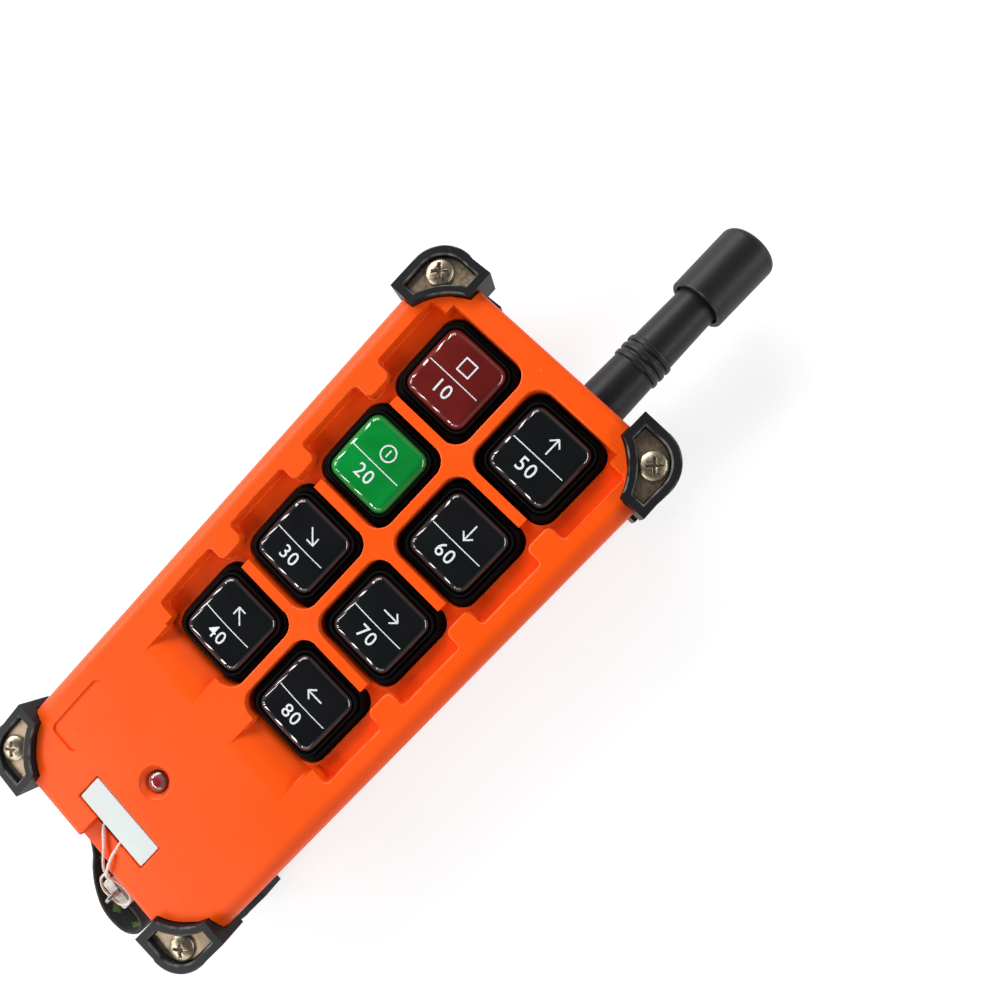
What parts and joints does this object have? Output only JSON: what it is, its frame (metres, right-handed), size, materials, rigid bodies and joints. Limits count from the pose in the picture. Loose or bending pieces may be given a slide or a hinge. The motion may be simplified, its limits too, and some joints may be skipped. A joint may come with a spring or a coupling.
{
  "type": "crane radio remote control",
  "caption": "Hand-held radio transmitter for a crane: a slim orange case with two columns of domed push keys, a stub antenna, rubber corner guards and a wrist strap.",
  "frame": {"origin": "under the middle of the whole part, antenna included, on the surface it lies on", "axes": "+X across the keypad to the right when the antenna points up, +Y along the case towards the antenna, +Z out of the key side"},
  "size_m": [0.0722, 0.2123, 0.0292],
  "materials": {
    "case_orange": "fine satin moulding texture",
    "seal_rubber": "soft seal",
    "keypad_rubber": "satin silicone rubber",
    "cap_red": "glossy domed resin",
    "cap_green": "glossy domed resin",
    "cap_black": "glossy domed resin",
    "board_green": "solder mask",
    "switch_metal": "stamped",
    "screw_steel": "nickel plated",
    "shield_tin": "tin plated",
    "led_red": "moulded",
    "lens_clear": "clear",
    "label_white": "blank film",
    "antenna_brass": "machined",
    "antenna_rubber": "satin",
    "guard_rubber": "satin rubber",
    "plate_nickel": "pressed, nickel plated",
    "battery_wrap": "shrink wrap",
    "spring_steel": "plated",
    "string_white": "braided",
    "clip_tin": "folded sheet",
    "strap_woven": "woven with small motifs"
  },
  "bodies": {
    "case": {"front_case": "case_orange", "rear_case": "case_orange", "case_seal": "seal_rubber", "keypad_mat": "keypad_rubber", "circuit_board": "board_green", "key_switches": "switch_metal", "board_screws": "screw_steel", "radio_module": "shield_tin", "status_led": "led_red", "led_lens": "lens_clear", "label_plate": "label_white", "strap_bar": "screw_steel", "antenna_core": "antenna_brass", "antenna_sleeve": "antenna_rubber", "antenna_shaft": "antenna_rubber", "antenna_cap": "antenna_rubber", "guard_front_top_left": "guard_rubber", "guard_front_top_right": "guard_rubber", "guard_front_low_left": "guard_rubber", "guard_front_low_right": "guard_rubber", "guard_rear_top_left": "guard_rubber", "guard_rear_top_right": "guard_rubber", "guard_rear_low_left": "guard_rubber", "guard_rear_low_right": "guard_rubber", "front_guard_plates": "plate_nickel", "rear_guard_plates": "plate_nickel", "front_guard_screws": "screw_steel", "rear_guard_screws": "screw_steel", "case_screws": "screw_steel", "battery_upper": "battery_wrap", "battery_lower": "battery_wrap", "battery_springs": "spring_steel", "battery_contacts": "spring_steel", "strap_string": "string_white", "strap_clip": "clip_tin", "strap_band": "strap_woven"},
    "key_stop": {"key_stop": "keypad_rubber", "cap_stop": "cap_red"},
    "key_start": {"key_start": "keypad_rubber", "cap_start": "cap_green"},
    "key_south": {"key_south": "keypad_rubber", "cap_south": "cap_black"},
    "key_north": {"key_north": "keypad_rubber", "cap_north": "cap_black"},
    "key_up": {"key_up": "keypad_rubber", "cap_up": "cap_black"},
    "key_down": {"key_down": "keypad_rubber", "cap_down": "cap_black"},
    "key_east": {"key_east": "keypad_rubber", "cap_east": "cap_black"},
    "key_west": {"key_west": "keypad_rubber", "cap_west": "cap_black"},
    "battery_door": {"battery_cover": "case_orange"}
  },
  "joints": [
    {"name": "key_stop_press", "type": "slide", "parent": "case", "child": "key_stop", "axis": [0, 0, -1], "range_m": [0, 0.0018], "stiffness_N_per_m": 800, "springref_m": -0.001},
    {"name": "key_start_press", "type": "slide", "parent": "case", "child": "key_start", "axis": [0, 0, -1], "range_m": [0, 0.0018], "stiffness_N_per_m": 800, "springref_m": -0.001},
    {"name": "key_south_press", "type": "slide", "parent": "case", "child": "key_south", "axis": [0, 0, -1], "range_m": [0, 0.0018], "stiffness_N_per_m": 800, "springref_m": -0.001},
    {"name": "key_north_press", "type": "slide", "parent": "case", "child": "key_north", "axis": [0, 0, -1], "range_m": [0, 0.0018], "stiffness_N_per_m": 800, "springref_m": -0.001},
    {"name": "key_up_press", "type": "slide", "parent": "case", "child": "key_up", "axis": [0, 0, -1], "range_m": [0, 0.0018], "stiffness_N_per_m": 800, "springref_m": -0.001},
    {"name": "key_down_press", "type": "slide", "parent": "case", "child": "key_down", "axis": [0, 0, -1], "range_m": [0, 0.0018], "stiffness_N_per_m": 800, "springref_m": -0.001},
    {"name": "key_east_press", "type": "slide", "parent": "case", "child": "key_east", "axis": [0, 0, -1], "range_m": [0, 0.0018], "stiffness_N_per_m": 800, "springref_m": -0.001},
    {"name": "key_west_press", "type": "slide", "parent": "case", "child": "key_west", "axis": [0, 0, -1], "range_m": [0, 0.0018], "stiffness_N_per_m": 800, "springref_m": -0.001},
    {"name": "battery_door_hinge", "type": "hinge", "parent": "case", "child": "battery_door", "pos_m": [0, -0.0581, 0.0028], "axis": [1, 0, 0], "range_deg": [0, 80]}
  ]
}
